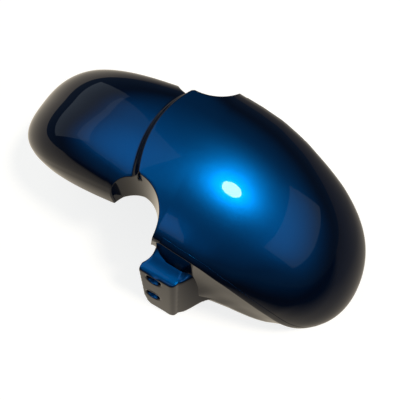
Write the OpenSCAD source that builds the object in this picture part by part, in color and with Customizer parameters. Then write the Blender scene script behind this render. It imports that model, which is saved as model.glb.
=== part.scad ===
// Front mudguard of a motorcycle: one moulded shell over the tyre, crown up.
// A broad front lobe steps up over a narrower rear lobe at the fork, with a
// round recess each side for the fork leg and a bolted bracket under each wing.
// Sections are cut by planes through the wheel axle, at an angle from straight up.

/* [Shell] */
// Radius of the crown from the wheel axle
crown_r = 325; // [318:1:332]
// Thickness of the moulded wall
wall = 3; // [2.6:0.1:3.4]

/* [Front lobe] */
// Half width of the front lobe
front_w = 99; // [96:0.5:102]
// Angle at which the front tip closes
front_end = 68; // [66:0.5:70]
// Angle from which the width rounds off to the tip
front_round = 22; // [20:0.5:24]
// Power of the rounding of the tip, seen from above
front_plan = 5; // [4.5:0.1:5.5]
// Root taken of that rounding
front_root = 2.2; // [2:0.1:2.4]
// Power of the front lobe's section at the tip, 2 being an ellipse
front_power = 2.5; // [2.3:0.1:2.7]
// Power of the front lobe's section at the wings
wing_power = 3.4; // [3.1:0.1:3.7]
// Radius of the lower edge at the wing
front_rim_r = 249; // [246:1:252]
// Radius of the lower edge at the tip
tip_rim_r = 290; // [287:1:293]
// Length of the web below the lip at the bracket
web_h = 34; // [30:1:36]
// Length of the straight band round the tip
band_h = 8; // [6:1:10]
// Depth of the web behind the lip
lip_in = 7; // [5:0.5:8]
// Swell of the lip over the side
lip_out = 2; // [1:0.5:3]
// Distance that the web flares out past the side beside the bracket
web_flare = 17; // [15:0.5:19]

/* [Rear lobe] */
// Half width of the rear lobe
rear_w = 79; // [77:0.5:81]
// Angle at which the tail closes
rear_end = 53.5; // [52:0.5:55]
// Power of the rounding of the tail, seen from above
rear_plan = 3.5; // [3.2:0.1:3.8]
// Power of the rear lobe's section
rear_power = 3; // [2.7:0.1:3.3]
// Radius of the rear lobe's lower edge beside the fork
rear_rim_r = 245; // [242:1:248]
// Radius of the rear lobe's lower edge at the tail
tail_rim_r = 255; // [252:1:258]
// Drop of the rear lobe's crown below the front lobe's
step_h = 12; // [9:0.5:14]
// Distance by which the step curves back at the crown
step_back = 13; // [10:0.5:15]

/* [Fork recess] */
// Radius of the recess round each fork leg
fork_r = 44; // [42:0.5:46]
// Distance of the fork leg from the middle
fork_y = 101; // [99:0.5:102]

/* [Bracket] */
// Depth of the bracket's shelf below the lip
shelf_drop = 41.5; // [40:0.5:43]
// Height of the bracket from its foot to its shelf
bracket_h = 108; // [106:0.5:110]
// Half width of the bracket at the shelf
shelf_y = 127; // [125:0.5:129]
// Half width of the bracket at the foot
foot_y = 146; // [144:0.5:147]
// Rear edge of the bracket ahead of the axle
bracket_x = 28; // [26:0.5:30]
// Length of the bracket's shelf along the bike
bracket_l = 50; // [48:0.5:52]
// Length of the bracket's foot along the bike
foot_l = 56; // [54:0.5:58]
// Radius of the notch that clears the fork leg behind the shelf
notch_r = 30; // [29:0.5:31]
// Radius of the bracket's front corner
corner_r = 8; // [6:0.5:10]
// Distance of the panel's upper end ahead of the axle
panel_x = 100; // [98:0.5:102]
// Distance of the panel's lower end ahead of the axle
panel_end_x = 117; // [115:0.5:118]
// Depth of the panel's upper end below the lip
panel_drop = 4; // [3:0.5:6]
// Swell of the panel's lower edge
panel_swell = 6; // [4:0.5:8]
// Distance of the bolt holes ahead of the bracket's rear edge
hole_x = 21; // [20:0.5:22]
// Depth of the upper bolt hole below the shelf
hole_drop = 15; // [14.5:0.5:17]
// Distance between the two bolt holes
hole_gap = 52; // [50:0.5:54]
// Radius of a bolt hole
hole_r = 4.5; // [4:0.1:5]
// Radius of the recess round a bolt hole
cup_r = 10; // [9:0.5:11]
// Distance from the middle to the seats of the bolts
seat_y = 118; // [117:0.5:119]

/* [Hidden] */

DOME = 13; // steps of a half section over the dome
SIDE = 7; // steps of a half section down the side
HALF = DOME + SIDE;
COLS = 2 * HALF;
DEG = 180 / (PI * crown_r); // degrees of arc in a millimetre of crown
LEAN = (foot_y - shelf_y) / bracket_h; // lean of the bracket's outer face
// angles, each with its share of the web's flare
FLARE = [[10, 0], [14, 0.47], [30, 1], [36, 0.7], [42, 0.4], [47, 0.25], [55, 0]];
recess_end = fork_r * DEG;
side_start = 0.976; // share of the half width where the side begins

// radius, at angle f, of the straight line between two polar points
function line_r(f, f0, r0, f1, r1) =
    let (x0 = r0 * sin(f0), z0 = r0 * cos(f0),
         nx = z0 - r1 * cos(f1), nz = r1 * sin(f1) - x0)
    (nx * x0 + nz * z0) / (nx * sin(f) + nz * cos(f));

// height of the front lobe's lower edge, which runs straight between its two ends
function rim_z(x) =
    let (x0 = front_rim_r * sin(10), z0 = front_rim_r * cos(10),
         x1 = tip_rim_r * sin(front_end), z1 = tip_rim_r * cos(front_end))
    z0 + (x - x0) * (z1 - z0) / (x1 - x0);
shelf_z = rim_z(bracket_x) - shelf_drop;
foot_z = shelf_z - bracket_h;

function share(f, f0, f1) = min(1, max(0, (f - f0) / (f1 - f0)));
function mix(a, b, t) = a + (b - a) * t;

// a lobe's half width, rise and lower edge at angle f, with its faces drawn in by d
function front_lobe(f, d) =
    let (end = front_end - d * DEG,
         w = (front_w - d) * pow(1 - pow(share(f, front_round, end), front_plan), 1 / front_root),
         rim = line_r(f, 10, front_rim_r, front_end, tip_rim_r),
         h = (crown_r - d - rim) * pow(1 - pow(share(f, 10, end), 5), 1 / 2.6))
    [w, h, rim, mix(wing_power, front_power, share(f, 8, 36))];
function rear_lobe(f, d) =
    let (end = rear_end - d * DEG,
         w = (rear_w - d) * pow(1 - pow(share(-f, 0, end), rear_plan), 1 / 2.2),
         rim = line_r(f, -6, rear_rim_r, -rear_end, tail_rim_r),
         h = (crown_r - step_h - d - rim) * pow(1 - pow(share(-f, 0, end), 3), 1 / 2))
    [w, h, rim, rear_power];

// radius of a lobe's surface at half width y, and half width at radius r
function lobe_r(l, y) = l[2] + l[1] * pow(max(0, 1 - pow(min(1, y / l[0]), l[3])), 1 / l[3]);
function lobe_y(l, r) = l[0] * pow(max(0, 1 - pow(min(1, max(0, (r - l[2]) / l[1])), l[3])), 1 / l[3]);

// half width left by the fork recess at angle f
function recess_y(f, d) =
    let (s = f / DEG, r = fork_r + d)
    abs(s) < r ? fork_y - sqrt(r * r - s * s) : 1000;

// length of the web below the lip, and how far it flares out past the side
function web(f) = lookup(f, [[20, web_h], [34, web_h], [38, 20], [42, 15], [47, 12], [55, band_h]]);
function flare(f) = web_flare * lookup(f, FLARE);

// one half section: [half width, radius, angle] from the crown to the lower edge
function half(s, d) =
    let (f = d > 0 ? inner_f(s[0]) : s[0],
         a = rear_lobe(min(f, 0), d), b = front_lobe(f, d),
         main = s[1] < 1 ? a : b,
         lim = recess_y(f, d),
         top = min(lim, side_start * main[0]),
         lip = s[1] < 1 ? 0 : share(f, recess_end + d * DEG, recess_end + 2),
         l_in = lip_in * (1 - share(f, 30, 55)) + 0.5,
         low = s[1] < 1 && f < 0 ? a[2]
             : mix(rear_lobe(0, 0)[2], front_lobe(recess_end, 0)[2] - web_h, share(f, 0, recess_end)),
         r_top = mix(lobe_r(a, top), lobe_r(b, top), s[1]))
    [for (k = [0 : DOME])
        let (y = top * sin(90 * k / DOME),
             r = mix(lobe_r(a, y), lobe_r(b, y), s[1]),
             back = step_back * DEG * s[2] * max(0, 1 - pow(y / (fork_y - fork_r), 2)))
        [y, r, f - back],
     for (k = [1 : SIDE])
        let (rim = main[2],
             plain_r = mix(r_top, low, k / SIDE),
             plain_y = min(lim, lobe_y(main, plain_r)),
             lip_r = k == 1 ? mix(r_top, rim, 0.45)
                   : k == 2 ? rim + 9 + d
                   : k == 3 ? rim + 4 + d
                   : k == 4 ? rim + d
                   : k == 5 ? rim - 1 + d
                   : k == 6 ? rim - web(f) * 0.5
                   : rim - web(f),
             lip_y = k == 1 ? lobe_y(main, lip_r)
                   : k == 2 ? lobe_y(main, lip_r) + lip_out * 0.6
                   : k == 3 ? main[0] + lip_out
                   : k == 4 ? main[0] + lip_out * 0.7
                   : k == 5 ? main[0] - l_in
                   : k == 6 ? main[0] - l_in + (flare(f) + l_in) * 0.35
                   : main[0] + flare(f))
        [mix(plain_y, max(0, lip_y * share(main[0], 0, 3)), lip), mix(plain_r, lip_r, lip), f]];

// angle of an inner station, so that the wall keeps its thickness round bends
function inner_f(f) =
    let (k = 1 + wall / fork_r, e = wall * DEG)
    lookup(f, [[-rear_end, e - rear_end], [-14, -14], [-recess_end, -recess_end * k],
               [-3, -3 * k], [-2.2, -1.8], [0.3, 0.4 + e], [2, 2 * k + 0.2],
               [recess_end, recess_end * k], [recess_end + 3, recess_end + 3.6], [20, 20],
               [front_end, front_end - e]]);

// stations: [angle, share of the front lobe, share of the step's curve]
stations = concat(
    [for (k = [0 : 10]) let (f = -14 - (rear_end - 14) * cos(9 * k)) [f, 0, 0]],
    [for (f = [-12.5, -11, -9.5, -8.4]) [f, 0, 1 + f / 14]],
    [for (s = [-0.999, -0.97, -0.9, -0.78, -0.62, -0.45]) [s * recess_end, 0, 1 + s * recess_end / 14]],
    [for (q = [[-2.2, 0], [-1.6, 0.1], [-1.1, 0.26], [-0.65, 0.5], [-0.3, 0.78], [-0.05, 0.94], [0.3, 1]])
        [q[0], q[1], 1 + min(0, q[0] / 14)]],
    [for (s = [0.16, 0.3, 0.45, 0.6, 0.74, 0.86, 0.94, 0.985, 0.999])
        [s * recess_end, 1, 1 - s * recess_end / 14]],
    [for (f = [recess_end + 0.15, recess_end + 0.8, recess_end + 1.6, recess_end + 3, 12.5])
        [f, 1, max(0, 1 - f / 14)]],
    [for (k = [0 : 20]) let (f = 14 + (front_end - 14) * sin(4.5 * k)) [f, 1, 0]]);
LAST = len(stations) - 1;

// a point of the shell from half width, radius and angle
function place(p, side) = [p[1] * sin(p[2]), side * p[0], p[1] * cos(p[2])];

// the points of one face of the shell, row by row from the tail
function face_points(d) = [for (s = stations)
    let (h = half(s, d)) each [for (c = [0 : COLS])
        c < HALF ? place(h[HALF - c], -1) : place(h[c - HALF], 1)]];

// both ends close on the middle line, so their points are shared by the two sides
function at(i, c) =
    i > 0 && i < LAST ? i * (COLS + 1) + c
    : i * (COLS + 1) + HALF + max(DOME, abs(c - HALF));

function tri(a, b, c) = a == b || b == c || a == c ? [] : [[a, b, c]];
function quad(a, b, c, d) = concat(tri(a, b, c), tri(a, c, d));

module shell() {
    n = (LAST + 1) * (COLS + 1);
    polyhedron(
        points = concat(face_points(0), face_points(wall)),
        faces = concat(
            [for (i = [0 : LAST - 1], c = [0 : COLS - 1])
                each quad(at(i, c + 1), at(i + 1, c + 1), at(i + 1, c), at(i, c))],
            [for (i = [0 : LAST - 1], c = [0 : COLS - 1])
                each quad(n + at(i, c), n + at(i + 1, c), n + at(i + 1, c + 1), n + at(i, c + 1))],
            [for (i = [0 : LAST - 1])
                each quad(at(i + 1, 0), n + at(i + 1, 0), n + at(i, 0), at(i, 0))],
            [for (i = [0 : LAST - 1])
                each quad(at(i, COLS), n + at(i, COLS), n + at(i + 1, COLS), at(i + 1, COLS))]));
}

// a prism along the bike over a profile of [y, z] points
module along_x(x0, x1, points) {
    translate([x0, 0, 0]) rotate([90, 0, 90]) linear_extrude(x1 - x0) polygon(points);
}

// a prism across the bike over a profile of [x, z] points
module along_y(y0, y1, points) {
    translate([0, y1, 0]) rotate([90, 0, 0]) linear_extrude(y1 - y0) polygon(points);
}

// a post that leans with the bracket's front outer corner, which it rounds
module post(d) {
    r = corner_r - d;
    translate([bracket_x + bracket_l, shelf_y, shelf_z])
        rotate([asin((foot_y - shelf_y) / norm([foot_l - bracket_l, foot_y - shelf_y, bracket_h])),
                -atan((foot_l - bracket_l) / bracket_h), 0])
            translate([0, 0, -1.2 * bracket_h]) linear_extrude(1.6 * bracket_h)
                polygon(concat([[-foot_y, -d], [-foot_y, -foot_y], [-d, -foot_y]],
                    [for (k = [0 : 8]) [-d - r + r * cos(k * 11.25), -d - r + r * sin(k * 11.25)]]));
}

// one bracket's solid block on the +Y side, its faces drawn in by d
module block(d) {
    difference() {
        intersection() {
            post(d);
            block_side(d);
            block_face(d);
        }
        translate([bracket_x + 16 - notch_r, front_w, 0])
            cylinder(h = shelf_z + 30, r = notch_r + d, $fn = 72);
    }
}

// the block's outline seen along the bike
module block_side(d) {
    along_x(bracket_x, bracket_x + foot_l + 1, [
        [foot_y + 1, foot_z - d], [foot_y + 1, shelf_z - 3 - d],
        [shelf_y - d, shelf_z - 3 - d], [shelf_y - 3 - d, shelf_z - d],
        [front_w + 12, shelf_z - d], [front_w + 7, shelf_z + 1 - d], [front_w + 3, shelf_z + 3 - d],
        [front_w - 1, shelf_z + 7 - d], [front_w - 4, shelf_z + 11 - d], [front_w - 6 - d, shelf_z + 15 - d],
        [front_w - 8 - d, shelf_z - 10], [foot_y - 20 - d * 2, foot_z - d]]);
}

// the block's outline seen across the bike
module block_face(d) {
    x0 = bracket_x;
    x1 = bracket_x + foot_l + 1;
    along_y(front_w - 20, foot_y + 1, [
        [x0 + 18, foot_z - 1 - d], [x1, foot_z - 1 - d], [x1, shelf_z + 20], [x0 + d, shelf_z + 20],
        [x0 + d, shelf_z], [x0 + 7 + d, foot_z + 24], [x0 + 12 + d, foot_z + 6]]);
}

// the panel's start on the block: along the shelf's front edge, then down the corner
function panel_start(t) =
    let (k = share(t, 2 / 7, 1), x = bracket_x + mix(bracket_l, foot_l, k) - 1)
    k == 0 ? mix([x, front_w - 4, shelf_z + 9], [x, shelf_y - corner_r, shelf_z - 1], t * 7 / 2)
    : [x, mix(shelf_y, foot_y, k) - corner_r + 1, mix(shelf_z - 1, foot_z + 0.8, k)];

// a point of the panel, u along it from the block to the web, t down it
function panel_point(u, t) =
    mix(panel_start(t),
        [mix(panel_x, panel_end_x, t), mix(front_w - lip_in, front_w + 0.7 * web_flare, t),
         mix(rim_z(panel_x) - panel_drop, rim_z(panel_end_x) - web_h, t)], u)
    + [0, panel_swell * t * sin(180 * u * u), 0];

// the panel that runs from a bracket's front corner into the web
module panel() {
    N = 6;
    M = 7;
    k = (N + 1) * (M + 1);
    outer = [for (i = [0 : N], j = [0 : M]) panel_point(i / N, j / M)];
    inner = [for (i = [0 : N], j = [0 : M]) panel_point(i / N, j / M) 
        - wall * [0.7, 0.8, 0.5 * (1 - j / M)]];
    function id(i, j) = i * (M + 1) + j;
    edge = concat([for (i = [0 : N]) id(i, 0)], [for (j = [1 : M]) id(N, j)],
        [for (i = [N - 1 : -1 : 0]) id(i, M)], [for (j = [M - 1 : -1 : 1]) id(0, j)]);
    e = len(edge);
    polyhedron(
        points = concat(outer, inner),
        faces = concat(
            [for (i = [0 : N - 1], j = [0 : M - 1])
                each quad(id(i, j), id(i, j + 1), id(i + 1, j + 1), id(i + 1, j))],
            [for (i = [0 : N - 1], j = [0 : M - 1])
                each quad(k + id(i + 1, j), k + id(i + 1, j + 1), k + id(i, j + 1), k + id(i, j))],
            [for (q = [0 : e - 1]) let (a = edge[q], b = edge[(q + 1) % e])
                each quad(a, b, k + b, k + a)]));
}

// one bracket on the +Y side, with its two bolt holes in cups that reach one upright seat
module bracket() {
    x = bracket_x + hole_x;
    zs = [shelf_z - hole_drop, shelf_z - hole_drop - hole_gap];
    difference() {
        union() {
            difference() {
                block(0);
                block(wall);
            }
            panel();
            for (z = zs)
                translate([x, seat_y - wall, z]) rotate([-90, 0, 0])
                    cylinder(h = shelf_y + (shelf_z - z - cup_r) * LEAN - seat_y, r = cup_r + wall, $fn = 40);
        }
        for (z = zs) {
            translate([x, seat_y, z]) rotate([-90, 0, 0])
                cylinder(h = foot_y - seat_y + wall, r = cup_r, $fn = 40);
            translate([x, seat_y - 2 * wall, z]) rotate([-90, 0, 0])
                cylinder(h = 3 * wall, r = hole_r, $fn = 40);
        }
    }
}

module mudguard() {
    xs = [for (p = face_points(0)) p[0]];
    color([0.02, 0.1, 0.3]) translate([-(min(xs) + max(xs)) / 2, 0, -foot_z]) {
        shell();
        bracket();
        mirror([0, 1, 0]) bracket();
    }
}

mudguard();
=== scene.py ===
"""Looks of the front mudguard: a smooth shell with brackets in clear-coated metallic blue.

Lengths are millimetres and angles are degrees until the meshes are made. The formulas work in
the wheel's frame: x to the front, y to the left and z up from the axle. An angle f about the axle
is 0 straight up and grows to the front. A depth d is 0 on the outer face and WALL on the inner
face. The row's frame is the wheel's frame moved by MID_X and FOOT_Z.
"""
import math

import bmesh
import bpy
import numpy as np
from mathutils import Matrix, Vector


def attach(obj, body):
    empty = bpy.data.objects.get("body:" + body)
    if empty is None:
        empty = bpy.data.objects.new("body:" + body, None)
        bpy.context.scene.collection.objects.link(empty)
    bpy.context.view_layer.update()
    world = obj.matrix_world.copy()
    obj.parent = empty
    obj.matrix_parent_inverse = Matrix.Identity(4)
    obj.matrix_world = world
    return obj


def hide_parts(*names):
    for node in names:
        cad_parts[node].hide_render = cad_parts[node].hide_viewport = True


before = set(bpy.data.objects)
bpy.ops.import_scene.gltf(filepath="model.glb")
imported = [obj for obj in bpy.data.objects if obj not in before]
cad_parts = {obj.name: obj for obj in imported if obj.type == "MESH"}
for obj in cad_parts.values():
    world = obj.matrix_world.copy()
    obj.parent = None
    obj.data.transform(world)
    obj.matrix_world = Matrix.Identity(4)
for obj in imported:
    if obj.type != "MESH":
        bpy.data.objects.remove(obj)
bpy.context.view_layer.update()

MM = 0.001
MID_X = 32.6

# ------------------------------------------------------------------ sizes of the shell
CROWN_R, WALL = 325.0, 3.0
DEG = 180 / (math.pi * CROWN_R)  # degrees for one millimetre along the crown

# front lobe: half width, end, the angle where its outline starts to round, and the powers
FRONT_W, FRONT_END, FRONT_ROUND = 99.0, 67.5, 22.0
FRONT_PLAN, FRONT_ROOT = 5.0, 2.2
FRONT_DROP, FRONT_DROP_PLAN, FRONT_DROP_ROOT = 10.0, 5.0, 2.6
FRONT_POWER, WING_POWER = 2.1, 2.2
WING_AT, FRONT_AT = 8.0, 36.0
FRONT_PART = 0.95  # share of the superellipse that is used, so that the side ends on a slant
FRONT_RIM_R, TIP_RIM_R, FRONT_RIM_AT = 249.0, 290.0, 10.0

# rear lobe
REAR_W, REAR_END, REAR_PLAN, REAR_ROOT, REAR_POWER = 79.3, 51.5, 3.7, 2.2, 2.7
REAR_DROP_PLAN = 2.8
REAR_RIM_R, TAIL_RIM_R, REAR_RIM_AT = 245.0, 255.0, -6.0
STEP_H, STEP_BACK = 12.0, 13.0

# recess for the fork leg
FORK_R, FORK_Y = 44.0, 101.0
RECESS_END = FORK_R * DEG
RECESS_DROP, RECESS_MID = 11.0, 3.0
NO_RECESS = 1000.0

# lip and web below it
WEB_H, BAND_H, WEB_FLARE = 34.0, 8.0, 17.0
WEB_START, WEB_FULL_AT = 0.45, 12.0
LIP_IN, LIP_IN_LEAST, LIP_OUT = 0.5, 0.5, 0.4
LIP_FADE, LIP_END = 30.0, 55.0

# how a section is divided
SIDE_START = 0.976  # share of the half width where the dome ends and the side starts
EDGE_ROUND = 2.5
FRONT_ONLY = 0.999  # from this share on, a section belongs to the front lobe alone
BOW_END = 14.0  # the section lines bow about the step and are straight from this angle on
TINY = 1e-6
ROWS, DOME_COLS, SIDE_COLS = ((3, 48, 6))

# tables over the angle: (angles, values)
LIFT = ([8, 14, 20, 28, 36, 43, 52, 60, FRONT_END],
        [29, 37, 43, 42, 36, 30, 17, 8, 0])
NARROW = ([8, 14, 25, 36, 45, FRONT_END],
          [-2, -3, -3.5, -2, -0.5, 0])
REAR_LIFT = ([RECESS_END, 14, 30, REAR_END],
             [2, 5, 14, 10])
WEB_BELOW = ([20, 34, 38, 42, 47, 55, FRONT_END],
             [WEB_H, WEB_H, 27, 26, 24, BAND_H + 12, BAND_H])
FLARE = ([10, 14, 30, 36, 42, 47, 55, 62],
         [0, 0.47, 1, 0.7, 0.5, 0.42, 0.35, 0])

# ------------------------------------------------------------------ sizes of the brackets
SHELF_Z, FOOT_Z, SHELF_Y, FOOT_Y = 212.94, 104.94, 127.0, 146.0
BRACKET_X, BRACKET_L, FOOT_L = 28.0, 50.0, 56.0
BRACKET_H = SHELF_Z - FOOT_Z
LEAN = (FOOT_Y - SHELF_Y) / BRACKET_H
CORNER_R, CORNER_STEPS = 8.0, 12
NOTCH_R, NOTCH_IN, NOTCH_LENGTH = 30.0, 7.0, 300.0
RISE_OUT, RISE_IN, RISE_UP, RISE_STEP = 20.0, 26.0, 22.0, 9  # curve from the shelf up to the shell
HOLE_X, HOLE_DROP, HOLE_GAP, HOLE_R = 21.0, 15.0, 52.0, 4.5
CUP_R, SEAT_Y = 10.0, 118.0
PANEL_X, PANEL_END_X = 85.0, 130.0
PANEL_START = 2 / 7  # share of the panel's edge that lies over the shelf
PANEL_OUT, PANEL_UP, PANEL_DOWN = 0.58, 22.0, 24.0
PANEL_ROWS, PANEL_COLS = 16, 28
VOXEL, SMOOTHING = ((0.0009, 20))


# ------------------------------------------------------------------ small tools
def rad(a):
    return a * math.pi / 180


def share(f, f0, f1):
    """How far f is on the way from f0 to f1, held between 0 and 1."""
    return min(1.0, max(0.0, (f - f0) / (f1 - f0)))


def mix(a, b, t):
    return a + (b - a) * t


def look_up(table, f):
    return float(np.interp(f, *table))


def line_r(f, f0, r0, f1, r1):
    """Radius at angle f of the straight line through two points given by angle and radius."""
    x0, z0 = r0 * math.sin(rad(f0)), r0 * math.cos(rad(f0))
    nx, nz = z0 - r1 * math.cos(rad(f1)), r1 * math.sin(rad(f1)) - x0
    return (nx * x0 + nz * z0) / (nx * math.sin(rad(f)) + nz * math.cos(rad(f)))


def spline(points, steps):
    """A smooth curve through the points, steps pieces between each pair."""
    p = np.array(points, float)
    tang = np.gradient(p, axis=0)
    # no overshoot: a tangent is flattened where the points turn back
    fwd = np.diff(p, axis=0, append=p[-1:])
    bwd = np.diff(p, axis=0, prepend=p[:1])
    same = np.sign(fwd) == np.sign(bwd)
    small = np.minimum(np.abs(fwd), np.abs(bwd)) * 3
    tang = np.where(same, np.clip(tang, -small, small), 0)
    tang[0], tang[-1] = fwd[0], bwd[-1]
    out = []
    for i in range(len(p) - 1):
        for t in np.arange(steps) / steps:
            t2, t3 = t * t, t * t * t
            out.append((2 * t3 - 3 * t2 + 1) * p[i] + (t3 - 2 * t2 + t) * tang[i]
                       + (3 * t2 - 2 * t3) * p[i + 1] + (t3 - t2) * tang[i + 1])
    out.append(p[-1])
    return np.array(out)


# ------------------------------------------------------------------ sections of the shell
# A lobe at one angle is (half width, height, rim radius, power, part of the superellipse).
def front_lobe(f, d):
    end = FRONT_END - d * DEG
    plan = (1 - share(f, FRONT_ROUND, end) ** FRONT_PLAN) ** (1 / FRONT_ROOT)
    w = (FRONT_W - look_up(NARROW, f) - d) * plan
    rim = line_r(f, FRONT_RIM_AT, FRONT_RIM_R, FRONT_END, TIP_RIM_R) + look_up(LIFT, f)
    drop = (1 - share(f, FRONT_DROP, end) ** FRONT_DROP_PLAN) ** (1 / FRONT_DROP_ROOT)
    h = (CROWN_R - d - rim) * drop
    power = mix(WING_POWER, FRONT_POWER, share(f, WING_AT, FRONT_AT))
    return max(w, TINY), max(h, TINY), rim, power, FRONT_PART


def rear_lobe(f, d):
    end = REAR_END - d * DEG
    w = (REAR_W - d) * (1 - share(-f, 0, end) ** REAR_PLAN) ** (1 / REAR_ROOT)
    rim = line_r(f, REAR_RIM_AT, REAR_RIM_R, -REAR_END, TAIL_RIM_R) + look_up(REAR_LIFT, -f)
    h = (CROWN_R - STEP_H - d - rim) * (1 - share(-f, 0, end) ** REAR_DROP_PLAN) ** 0.5
    return max(w, TINY), max(h, TINY), rim, REAR_POWER, 1


def arch(t, power):
    return max(0.0, 1 - t ** power) ** (1 / power)


def lobe_r(lobe, y):
    """Radius of the lobe at half width y."""
    w, h, rim, power, part = lobe
    end = arch(part, power)
    return rim + h * (arch(part * min(1.0, y / w), power) - end) / (1 - end)


def lobe_y(lobe, r):
    """Half width of the lobe at radius r."""
    w, h, rim, power, part = lobe
    end = arch(part, power)
    return w * min(1.0, arch(mix(end, 1, min(1.0, max(0.0, (r - rim) / h))), power) / part)


def recess_y(f, d):
    """Half width that the fork's recess leaves at angle f."""
    s, r = f / DEG, FORK_R + d
    return FORK_Y - math.sqrt(r * r - s * s) if abs(s) < r else NO_RECESS


def web(f):
    """Height of the web below the lip."""
    return mix(WEB_START, 1, share(f, RECESS_END, WEB_FULL_AT)) * (look_up(LIFT, f) + look_up(WEB_BELOW, f))


def flare(f):
    """How far the web's lower edge stands outside the lip."""
    return look_up(NARROW, f) + WEB_FLARE * look_up(FLARE, f)


def inner_f(f):
    """Angle of the inner face's section that belongs to the outer face's section at f."""
    k, e = 1 + WALL / FORK_R, WALL * DEG
    outer = [-REAR_END, -BOW_END, -RECESS_END, -3, -2.2, 0.3, 2,
             RECESS_END, RECESS_END + 3, 20, FRONT_END]
    inner = [e - REAR_END, -BOW_END, -RECESS_END * k, -3 * k, -1.8, 0.4 + e, 2 * k + 0.2,
             RECESS_END * k, RECESS_END + 3.6, 20, FRONT_END - e]
    return look_up((outer, inner), f)


def lip_points(main, f, d, r_top):
    """Half width and radius of seven points from the side's middle over the lip down the web."""
    w, rim = main[0], main[2]
    tuck = LIP_IN * (1 - share(f, LIP_FADE, LIP_END)) + LIP_IN_LEAST
    middle = mix(r_top, rim, 0.45)
    return [(lobe_y(main, middle), middle),
            (lobe_y(main, rim + 9 + d) + LIP_OUT * 0.6, rim + 9 + d),
            (lobe_y(main, rim + 4 + d) + LIP_OUT, rim + 4 + d),
            (w + LIP_OUT * 0.7, rim + d),
            (w - tuck, rim - 1 + d),
            (w - tuck + (flare(f) + tuck) * 0.35, rim - web(f) * 0.5),
            (w + flare(f), rim - web(f))]


def low_edge(a, f, part):
    """Radius of the lower edge where no lip is."""
    low = a[2]
    if part >= FRONT_ONLY or f >= 0:
        front = front_lobe(RECESS_END, 0)[2] - web(RECESS_END)
        low = mix(rear_lobe(0, 0)[2], front, share(f, 0, RECESS_END))
    return low - RECESS_DROP * max(0.0, 1 - ((f - RECESS_MID) / (RECESS_END + 0.5)) ** 2)


def half(station, d):
    """One half section as rows of half width, radius and angle, from the crown down."""
    f0, part, bow = station
    f = inner_f(f0) if d > 0 else f0
    a, b = rear_lobe(min(f, 0), d), front_lobe(f, d)
    main = b if part >= FRONT_ONLY else a
    limit = recess_y(f, d)
    top = min(limit, SIDE_START * main[0])
    r_top = mix(lobe_r(a, top), lobe_r(b, top), part)
    rounding = min(EDGE_ROUND, top * 0.2)
    out = []
    for k in range(DOME_COLS + 1):
        y = (top - rounding) * math.sin(math.pi / 2 * k / DOME_COLS)
        back = STEP_BACK * DEG * bow * max(0.0, 1 - (y / (FORK_Y - FORK_R)) ** 2)
        out.append((y, mix(lobe_r(a, y), lobe_r(b, y), part), f - back))

    # the side: plain beside the recess and on the rear lobe, with lip and web on the front lobe
    lip = 0 if part < FRONT_ONLY else share(f, RECESS_END + d * DEG, RECESS_END + 2)
    low = low_edge(a, f, part)
    points = [(top, r_top)]
    for k, (lip_y, lip_r) in enumerate(lip_points(main, f, d, r_top)):
        plain_r = mix(r_top, low, (k + 1) / 7)
        plain_y = min(limit, lobe_y(main, plain_r))
        lip_y = max(0.0, lip_y * share(main[0], 0, 3))
        points.append((mix(plain_y, lip_y, lip), mix(plain_r, lip_r, lip)))
    side = spline(points, SIDE_COLS)

    # the corner between the dome and the side is rounded
    ya, ra = out[-1][0], out[-1][1]
    step = max(TINY, math.hypot(side[1][0] - side[0][0], side[1][1] - side[0][1]))
    t = min(1.0, rounding / step)
    yb, rb = mix(side[0][0], side[1][0], t), mix(side[0][1], side[1][1], t)
    for q in (0.25, 0.5, 0.75):
        out.append(((1 - q) ** 2 * ya + 2 * q * (1 - q) * top + q * q * yb,
                    (1 - q) ** 2 * ra + 2 * q * (1 - q) * r_top + q * q * rb, f))
    side[0] = (yb, rb)
    out += [(y, r, f) for y, r in side]
    return out


def station_list():
    """Sections from tail to tip as (angle, share of the front lobe, bow of the section line)."""
    end = RECESS_END
    s = [(-BOW_END - (REAR_END - BOW_END) * math.cos(rad(9 * k)), 0, 0) for k in range(11)]
    s += [(f, 0, 1 + f / BOW_END) for f in (-12.5, -11, -9.5, -8.4)]
    s += [(q * end, 0, 1 + q * end / BOW_END) for q in (-0.999, -0.97, -0.9, -0.78, -0.62, -0.45)]
    # the step, where one lobe changes into the other
    step = ((-2.2, 0), (-1.6, 0.1), (-1.1, 0.26), (-0.65, 0.5), (-0.3, 0.78), (-0.05, 0.94), (0.3, 1))
    s += [(q, part, 1 + min(0, q / BOW_END)) for q, part in step]
    s += [(q * end, 1, 1 - q * end / BOW_END)
          for q in (0.16, 0.3, 0.45, 0.6, 0.74, 0.86, 0.94, 0.985, 0.999)]
    s += [(f, 1, max(0, 1 - f / BOW_END)) for f in (end + 0.15, end + 0.8, end + 1.6, end + 3, 12.5)]
    s += [(BOW_END + (FRONT_END - BOW_END) * math.sin(rad(4.5 * k)), 1, 0) for k in range(21)]
    fine = spline(s, ROWS)
    fine[0] = (-REAR_END + 1e-4, 0, 0)
    fine[-1] = (FRONT_END - 1e-4, 1, 0)
    return [tuple(v) for v in fine]


def grid(d):
    """Points of one face of the shell in metres, a row for each section."""
    rows = []
    for station in station_list():
        h = half(station, d)
        row = [(r * math.sin(rad(f)) - MID_X, -y, r * math.cos(rad(f)) - FOOT_Z) for y, r, f in reversed(h)]
        row += [(r * math.sin(rad(f)) - MID_X, y, r * math.cos(rad(f)) - FOOT_Z) for y, r, f in h[1:]]
        rows.append(row)
    return np.array(rows) * MM


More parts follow.
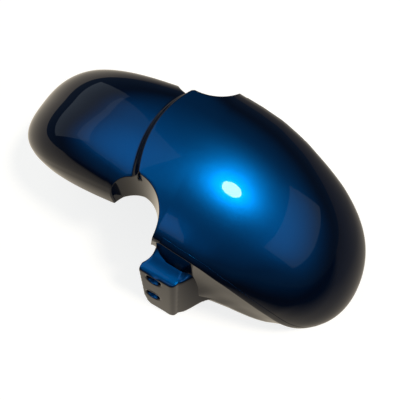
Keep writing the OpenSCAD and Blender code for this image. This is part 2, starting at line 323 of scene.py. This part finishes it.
# ------------------------------------------------------------------ meshes
def make_object(name, verts, faces, merge=0):
    """An object of the faces, merged and cleaned where merge says a distance in metres."""
    mesh = bpy.data.meshes.new(name)
    mesh.from_pydata(verts, [], faces)
    bm = bmesh.new()
    bm.from_mesh(mesh)
    if merge:
        bmesh.ops.remove_doubles(bm, verts=bm.verts, dist=merge)
        bmesh.ops.dissolve_degenerate(bm, edges=bm.edges, dist=merge / 2)
    bmesh.ops.recalc_face_normals(bm, faces=bm.faces)
    bm.to_mesh(mesh)
    bm.free()
    obj = bpy.data.objects.new(name, mesh)
    bpy.context.collection.objects.link(obj)
    return obj


def smooth(obj):
    for p in obj.data.polygons:
        p.use_smooth = True
    return obj


def make_shell():
    """The outer and the inner grid, joined along all four edges."""
    a, b = grid(0), grid(WALL)
    n, m = a.shape[:2]
    verts = [tuple(p) for p in a.reshape(-1, 3)] + [tuple(p) for p in b.reshape(-1, 3)]
    o = n * m
    faces = []
    for i in range(n - 1):
        for j in range(m - 1):
            k = i * m + j
            faces.append((k + 1, k + m + 1, k + m, k))
            faces.append((o + k, o + k + m, o + k + m + 1, o + k + 1))
        k = i * m
        faces.append((k + m, o + k + m, o + k, k))
        k = i * m + m - 1
        faces.append((k, o + k, o + k + m, k + m))
    return smooth(make_object("shell", verts, faces, merge=2e-6))


def pick(obj):
    bpy.ops.object.select_all(action="DESELECT")
    obj.select_set(True)
    bpy.context.view_layer.objects.active = obj


def apply(obj, kind, **values):
    """Add a modifier with these values and apply it."""
    pick(obj)
    mod = obj.modifiers.new("step", kind)
    for key, value in values.items():
        setattr(mod, key, value)
    bpy.ops.object.modifier_apply(modifier=mod.name)


def combine(obj, other, how):
    """Cut, intersect or unite the object with another, which is used up."""
    apply(obj, "BOOLEAN", object=other, operation=how, solver="EXACT")
    bpy.data.objects.remove(other)


def prism(points, way):
    """A solid over a closed outline of points, drawn along the vector way, in millimetres."""
    n = len(points)
    verts = [Vector(p) * MM for p in points] + [(Vector(p) + Vector(way)) * MM for p in points]
    faces = [tuple(range(n)), tuple(range(2 * n - 1, n - 1, -1))]
    faces += [(i, i + n, (i + 1) % n + n, (i + 1) % n) for i in range(n)]
    return make_object("prism", verts, faces)


def cylinder(radius, length, place, turn=(0, 0, 0), sides=64):
    """A cylinder about place, in millimetres, upright unless turned."""
    bpy.ops.mesh.primitive_cylinder_add(vertices=sides, radius=radius * MM, depth=length * MM,
                                        location=[v * MM for v in place], rotation=turn)
    bpy.ops.object.transform_apply(location=True, rotation=True, scale=True)
    return bpy.context.active_object


def rod(x, y0, y1, z, r):
    """A cylinder along y."""
    return cylinder(r, y1 - y0, (x, (y0 + y1) / 2, z), (math.pi / 2, 0, 0))


# ------------------------------------------------------------------ bracket
def post(d):
    """A post with one rounded corner that leans outwards and forwards on its way down."""
    r = CORNER_R - d
    turn = 90 / CORNER_STEPS
    arc = [(-d - r + r * math.cos(rad(turn * k)), -d - r + r * math.sin(rad(turn * k)))
           for k in range(CORNER_STEPS + 1)]
    outline = [(-FOOT_Y, -d), (-FOOT_Y, -FOOT_Y), (-d, -FOOT_Y)] + arc
    body = prism([(x, y, -1.2 * BRACKET_H) for x, y in outline], (0, 0, 1.6 * BRACKET_H))
    along, out = FOOT_L - BRACKET_L, FOOT_Y - SHELF_Y
    length = math.sqrt(along ** 2 + out ** 2 + BRACKET_H * BRACKET_H)
    turn_y = Matrix.Rotation(-math.atan(along / BRACKET_H), 4, "Y")
    turn_x = Matrix.Rotation(math.asin(out / length), 4, "X")
    corner = Vector((BRACKET_X + BRACKET_L, SHELF_Y, SHELF_Z)) * MM
    body.data.transform(Matrix.Translation(corner) @ (turn_y @ turn_x))
    return body


def block(d):
    """The bracket's body: the post cut by its two outlines and by the notch for the fork leg."""
    w, z = FRONT_W, SHELF_Z
    rise = [(w + RISE_OUT - RISE_IN * math.sin(rad(RISE_STEP * k)),
             z - d + RISE_UP * (1 - math.cos(rad(RISE_STEP * k)))) for k in range(9)]
    side = [(FOOT_Y + 1, FOOT_Z - d), (FOOT_Y + 1, z - 3 - d), (SHELF_Y - d, z - 3 - d),
            (SHELF_Y - 3 - d, z - d)]
    side += rise + [(w - 8 - d, z - 10), (FOOT_Y - 20 - d * 2, FOOT_Z - d)]
    x0, x1 = BRACKET_X, BRACKET_X + FOOT_L + 1
    face = [(x0 + 18, FOOT_Z - 1 - d), (x1, FOOT_Z - 1 - d), (x1, z + 20), (x0 + d, z + 20),
            (x0 + d, z), (x0 + 7 + d, FOOT_Z + 24), (x0 + 12 + d, FOOT_Z + 6)]
    body = post(d)
    combine(body, prism([(x0, y, q) for y, q in side], (FOOT_L + 1, 0, 0)), "INTERSECT")
    combine(body, prism([(x, w - 20, q) for x, q in face], (0, FOOT_Y - w + 21, 0)), "INTERSECT")
    place = (x0 + NOTCH_IN - NOTCH_R, w, NOTCH_LENGTH / 2)
    combine(body, cylinder(NOTCH_R + d, NOTCH_LENGTH, place, sides=128), "DIFFERENCE")
    return body


def rim_z(x):
    """Height of the straight rim line of the front lobe at x."""
    x0, z0 = FRONT_RIM_R * math.sin(rad(FRONT_RIM_AT)), FRONT_RIM_R * math.cos(rad(FRONT_RIM_AT))
    x1, z1 = TIP_RIM_R * math.sin(rad(FRONT_END)), TIP_RIM_R * math.cos(rad(FRONT_END))
    return z0 + (x - x0) * (z1 - z0) / (x1 - x0)


def panel_point(u, t):
    """A point of the panel: u runs from the post to the web, t from the shelf to the foot."""
    k = share(t, PANEL_START, 1)
    x = BRACKET_X + mix(BRACKET_L, FOOT_L, k) - 1
    if k == 0:
        over = t / PANEL_START
        p = Vector((x, mix(FRONT_W - 4, SHELF_Y - CORNER_R, over), mix(SHELF_Z + 9, SHELF_Z - 1, over)))
    else:
        p = Vector((x, mix(SHELF_Y, FOOT_Y, k) - CORNER_R + 1, mix(SHELF_Z - 1, FOOT_Z + 0.8, k)))
    q = Vector((mix(PANEL_X, PANEL_END_X, t),
                mix(FRONT_W - 1, FRONT_W + PANEL_OUT * WEB_FLARE, t),
                mix(rim_z(PANEL_X) + PANEL_UP, rim_z(PANEL_END_X) - PANEL_DOWN, t)))
    reach = (q - p).length
    start = (q - p) * 0.7 + Vector((0.3, 0, 0)) * reach
    end = Vector((0.8, 0, -0.48 * t)) * reach
    return (p * (1 + 2 * u) * (1 - u) ** 2 + start * u * (1 - u) ** 2
            + q * u * u * (3 - 2 * u) - end * u * u * (1 - u))


def make_panel():
    """The curved sheet that runs from the post forward into the web, one wall thick."""
    n, m = PANEL_ROWS, PANEL_COLS
    count = (n + 1) * (m + 1)
    outer = [panel_point(i / n, j / m) for i in range(n + 1) for j in range(m + 1)]
    inner = [p - WALL * Vector((0.7, 0.8, 0.5 * (1 - (i % (m + 1)) / m))) for i, p in enumerate(outer)]

    def at(i, j):
        return i * (m + 1) + j

    faces = []
    for i in range(n):
        for j in range(m):
            faces.append((at(i, j), at(i + 1, j), at(i + 1, j + 1), at(i, j + 1)))
            faces.append((count + at(i, j), count + at(i, j + 1),
                          count + at(i + 1, j + 1), count + at(i + 1, j)))
    edge = [at(i, 0) for i in range(n + 1)] + [at(n, j) for j in range(1, m + 1)]
    edge += [at(i, m) for i in range(n - 1, -1, -1)] + [at(0, j) for j in range(m - 1, 0, -1)]
    for a, b in zip(edge, edge[1:] + edge[:1]):
        faces.append((a, count + a, count + b, b))
    return make_object("panel", [p * MM for p in outer + inner], faces)


def make_bracket():
    """The left bracket: a hollow block with cups and holes, and the panel joined to it."""
    body = block(0)
    combine(body, block(WALL), "DIFFERENCE")
    x = BRACKET_X + HOLE_X
    heights = (SHELF_Z - HOLE_DROP, SHELF_Z - HOLE_DROP - HOLE_GAP)
    for z in heights:
        face_y = SHELF_Y + (SHELF_Z - z - CUP_R) * LEAN
        combine(body, rod(x, SEAT_Y - WALL, face_y, z, CUP_R + WALL), "UNION")
    for z in heights:
        combine(body, rod(x, SEAT_Y, FOOT_Y + WALL, z, CUP_R), "DIFFERENCE")
        combine(body, rod(x, SEAT_Y - 2 * WALL, SEAT_Y + WALL, z, HOLE_R), "DIFFERENCE")
    panel = make_panel()
    pick(body)
    panel.select_set(True)
    bpy.ops.object.join()
    apply(body, "REMESH", mode="VOXEL", voxel_size=VOXEL)
    apply(body, "SMOOTH", factor=0.5, iterations=SMOOTHING)
    body.data.transform(Matrix.Translation(Vector((-MID_X, 0, -FOOT_Z)) * MM))
    return smooth(body)


# ------------------------------------------------------------------ materials
def fill(tree, node, values):
    """Link each named input to the socket given for it, or set it to the constant given."""
    for key, value in values.items():
        if isinstance(value, bpy.types.NodeSocket):
            tree.links.new(value, node.inputs[key])
        else:
            node.inputs[key].default_value = value


def add_node(tree, kind, values=None, **settings):
    node = tree.nodes.new(kind)
    for key, value in settings.items():
        setattr(node, key, value)
    fill(tree, node, values or {})
    return node


def add_range(tree, value, low, high, low_value, high_value):
    """Map value from low..high to low_value..high_value."""
    node = add_node(tree, "ShaderNodeMapRange", {"Value": value, "From Min": low, "From Max": high,
                                                 "To Min": low_value, "To Max": high_value})
    return node.outputs["Result"]


def add_mix(tree, factor, a, b):
    node = add_node(tree, "ShaderNodeMix", {"Factor": factor, "A": a, "B": b}, data_type="RGBA")
    return node.outputs["Result"]


def add_math(tree, operation, *values):
    return add_node(tree, "ShaderNodeMath", dict(enumerate(values)), operation=operation).outputs[0]


def add_seen(tree):
    """Two sockets: 1 for camera rays, and 1 for rays that a glossy or clear surface sends on."""
    path = add_node(tree, "ShaderNodeLightPath")
    mirrored = add_math(tree, "MAXIMUM", path.outputs["Is Glossy Ray"], path.outputs["Is Transmission Ray"])
    return path.outputs["Is Camera Ray"], mirrored


FLAKE_SCALE, FLAKE_TILT = 2400, 0.06
PAINT_FACING, PAINT_EDGE, EDGE_AT = (0.0, 0.105, 0.33, 1), (0.0, 0.004, 0.015, 1), 0.4


def make_paint():
    """Metal flakes tilted by small cells under a clear coat; the colour darkens at a slant."""
    material = bpy.data.materials.new("blue_paint")
    material.use_nodes = True
    tree = material.node_tree
    place = add_node(tree, "ShaderNodeTexCoord").outputs["Object"]
    cells = add_node(tree, "ShaderNodeTexVoronoi", {"Scale": FLAKE_SCALE, "Vector": place})
    centred = add_node(tree, "ShaderNodeVectorMath", {0: cells.outputs["Color"], 1: (0.5, 0.5, 0.5)},
                       operation="SUBTRACT")
    tilt = add_node(tree, "ShaderNodeVectorMath", {0: centred.outputs[0], "Scale": FLAKE_TILT},
                    operation="SCALE")
    normal = add_node(tree, "ShaderNodeNewGeometry").outputs["Normal"]
    tilted = add_node(tree, "ShaderNodeVectorMath", {0: normal, 1: tilt.outputs[0]}, operation="ADD")
    flake = add_node(tree, "ShaderNodeVectorMath", {0: tilted.outputs[0]}, operation="NORMALIZE")
    facing = add_node(tree, "ShaderNodeLayerWeight", {"Blend": 0.5}).outputs["Facing"]
    ramp = add_node(tree, "ShaderNodeValToRGB", {"Fac": facing})
    ramp.color_ramp.interpolation = "EASE"
    ramp.color_ramp.elements[0].color = PAINT_FACING
    ramp.color_ramp.elements[1].position = EDGE_AT
    ramp.color_ramp.elements[1].color = PAINT_EDGE
    fill(tree, tree.nodes["Principled BSDF"], {
        "Normal": flake.outputs[0],
        "Base Color": ramp.outputs["Color"],
        "Metallic": add_range(tree, facing, 0.2, 0.5, 1.0, 0.0),
        "Specular Tint": (0.05, 0.1, 0.2, 1),
        "Specular IOR Level": 0.0,
        "Roughness": 0.37,
        "Coat Weight": 1.0,
        "Coat Roughness": 0.02,
        "Coat IOR": 1.2,
    })
    return material


WHITE = (1, 1, 1, 1)
FLOOR_COLOR, FLOOR_MIRRORED = (0.4, 0.36, 0.3, 1), (0.03, 0.03, 0.03, 1)
# the glow strength for the camera, and the colour of the painted pool of light that only reflections see
FLOOR_GLOW, PAINTED_LIGHT_POOL_COLOR = 0.8, (1, 0.88, 0.7, 1)
# the painted warm pool of light that only the paint's reflections see: direction, from, to, value at from,
# value at to, in metres
PAINTED_LIGHT_POOL_SIDES = (((0.7, 0.7, 0), -0.1, 0.35, 0.85, 0.25),
              ((-0.45, 0.89, 0), -0.36, -0.24, 0.05, 1.0))


def make_floor_material():
    """A pale floor for the camera; the paint mirrors a dark floor with one painted warm pool of light on
    it, which glows only in reflections.
    """
    material = bpy.data.materials.new("floor")
    material.use_nodes = True
    tree = material.node_tree
    camera, mirrored = add_seen(tree)
    place = add_node(tree, "ShaderNodeTexCoord").outputs["Object"]
    # painted pool of light: a warm glow on the floor, shaped by two ramps across it, that no lamp casts
    painted_pool_ramps = []
    for way, low, high, low_value, high_value in PAINTED_LIGHT_POOL_SIDES:
        across = add_node(tree, "ShaderNodeVectorMath", {0: place, 1: way}, operation="DOT_PRODUCT")
        painted_pool_ramps.append(add_range(tree, across.outputs["Value"], low, high, low_value, high_value))
    painted_pool = add_math(tree, "MULTIPLY", *painted_pool_ramps)
    # the painted pool of light glows only for glossy and clear rays, so it shows only as a painted
    # reflection in the paint
    painted_pool_reflection = add_math(tree, "MULTIPLY", mirrored, painted_pool)
    fill(tree, tree.nodes["Principled BSDF"], {
        "Roughness": 0.9,
        "Specular IOR Level": 0.1,
        "Base Color": add_mix(tree, mirrored, FLOOR_COLOR, FLOOR_MIRRORED),
        "Emission Color": add_mix(tree, camera, PAINTED_LIGHT_POOL_COLOR, WHITE),
        "Emission Strength": add_math(tree, "MULTIPLY_ADD", camera, FLOOR_GLOW, painted_pool_reflection),
    })
    return material


ROOM_COLOR, ROOM_LIGHT, ROOM_MIRRORED, ROOM_SEEN = (0.7, 0.85, 1, 1), 0.1, 0.05, 0.85


def make_world():
    """A dim cool room that the camera sees as a pale backdrop."""
    world = bpy.data.worlds.new("studio")
    bpy.context.scene.world = world
    world.use_nodes = True
    tree = world.node_tree
    camera, mirrored = add_seen(tree)
    room = add_math(tree, "MULTIPLY_ADD", mirrored, ROOM_MIRRORED, ROOM_LIGHT)
    fill(tree, tree.nodes["Background"], {
        "Color": add_mix(tree, camera, ROOM_COLOR, WHITE),
        "Strength": add_math(tree, "MULTIPLY_ADD", camera, ROOM_SEEN, room),
    })


# ------------------------------------------------------------------ light and camera
COOL = (0.75, 0.88, 1)
# name, place, point aimed at, shape, size, power and colour, in metres and watts
LAMPS = (
    ("key", (0.775, 0.22, 1.77), (0.054, -0.019, 0.208), "DISK", (0.33, 0.33), 17.5, (1, 1, 1)),
    ("sky", (-2.4, -0.35, 2.1), (-2.4, -0.35, 0), "RECTANGLE", (3.4, 3.4), 26, COOL),
    ("back", (-2.6, 0.4, 1.0), (0, 0, 0.15), "RECTANGLE", (2.6, 1.5), 11, COOL),
    ("low", (2.05, 0.3, 1.0), (0.1, 0, 0.15), "RECTANGLE", (2.2, 0.9), 6.5, COOL),
    ("side", (0.0, -2.2, 1.2), (0.0, 0, 0.15), "RECTANGLE", (0.7, 1.4), 3.5, COOL),
)
SKY_TURN = -28

# the photograph's camera in the wheel's frame; the focal length is in pixels of a square view
CAMERA_TURN, CAMERA_HEIGHT, CAMERA_ROLL = 28.39, 69.64, -0.85
CAMERA_DISTANCE, CAMERA_TARGET = 550.44, (58.61, -33.36, 262.31)
FOCAL_PIXELS, VIEW_PIXELS, SENSOR = 491.17, 400, 36


def add_lamp(name, place, aim, shape, size, power, color):
    data = bpy.data.lights.new(name, "AREA")
    data.shape = shape
    data.size, data.size_y = size
    data.energy = power
    data.color = color
    obj = bpy.data.objects.new(name, data)
    obj.location = place
    obj.rotation_euler = (Vector(aim) - Vector(place)).to_track_quat("-Z", "Y").to_euler()
    bpy.context.collection.objects.link(obj)
    return obj


def add_camera():
    a, e, roll = rad(CAMERA_TURN), rad(CAMERA_HEIGHT), rad(CAMERA_ROLL)
    back = Vector((math.sin(a) * math.cos(e), -math.cos(a) * math.cos(e), math.sin(e)))
    level = Vector((math.cos(a), math.sin(a), 0))
    above = back.cross(level)
    right = level * math.cos(roll) - above * math.sin(roll)
    up = level * math.sin(roll) + above * math.cos(roll)
    target = Vector(CAMERA_TARGET) - Vector((MID_X, 0, FOOT_Z))
    eye = (target + back * CAMERA_DISTANCE) * MM
    data = bpy.data.cameras.new("camera")
    data.sensor_width = SENSOR
    data.lens = FOCAL_PIXELS * SENSOR / VIEW_PIXELS
    data.clip_start = 0.01
    cam = bpy.data.objects.new("camera", data)
    cam.matrix_world = Matrix(((right.x, up.x, back.x, eye.x),
                               (right.y, up.y, back.y, eye.y),
                               (right.z, up.z, back.z, eye.z),
                               (0, 0, 0, 1)))
    bpy.context.collection.objects.link(cam)
    bpy.context.scene.camera = cam


# ------------------------------------------------------------------ the scene
shell = make_shell()
blue = make_paint()
left = make_bracket()
left.name = "bracket_left"
right = left.copy()
right.data = left.data.copy()
right.name = "bracket_right"
bpy.context.collection.objects.link(right)
right.data.transform(Matrix.Scale(-1, 4, (0, 1, 0)))
right.data.flip_normals()
for piece in (shell, left, right):
    piece.data.materials.clear()
    piece.data.materials.append(blue)
    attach(piece, "root")
    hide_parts("mudguard")

bpy.ops.object.select_all(action="DESELECT")
bpy.ops.mesh.primitive_plane_add(size=3, location=(0, 0, 0))
floor = bpy.context.active_object
floor.name = "floor"
floor.data.materials.append(make_floor_material())
make_world()
lamps = {row[0]: add_lamp(*row) for row in LAMPS}
lamps["sky"].rotation_euler = (0, 0, rad(SKY_TURN))
add_camera()
bpy.context.scene.view_settings.view_transform = "Standard"
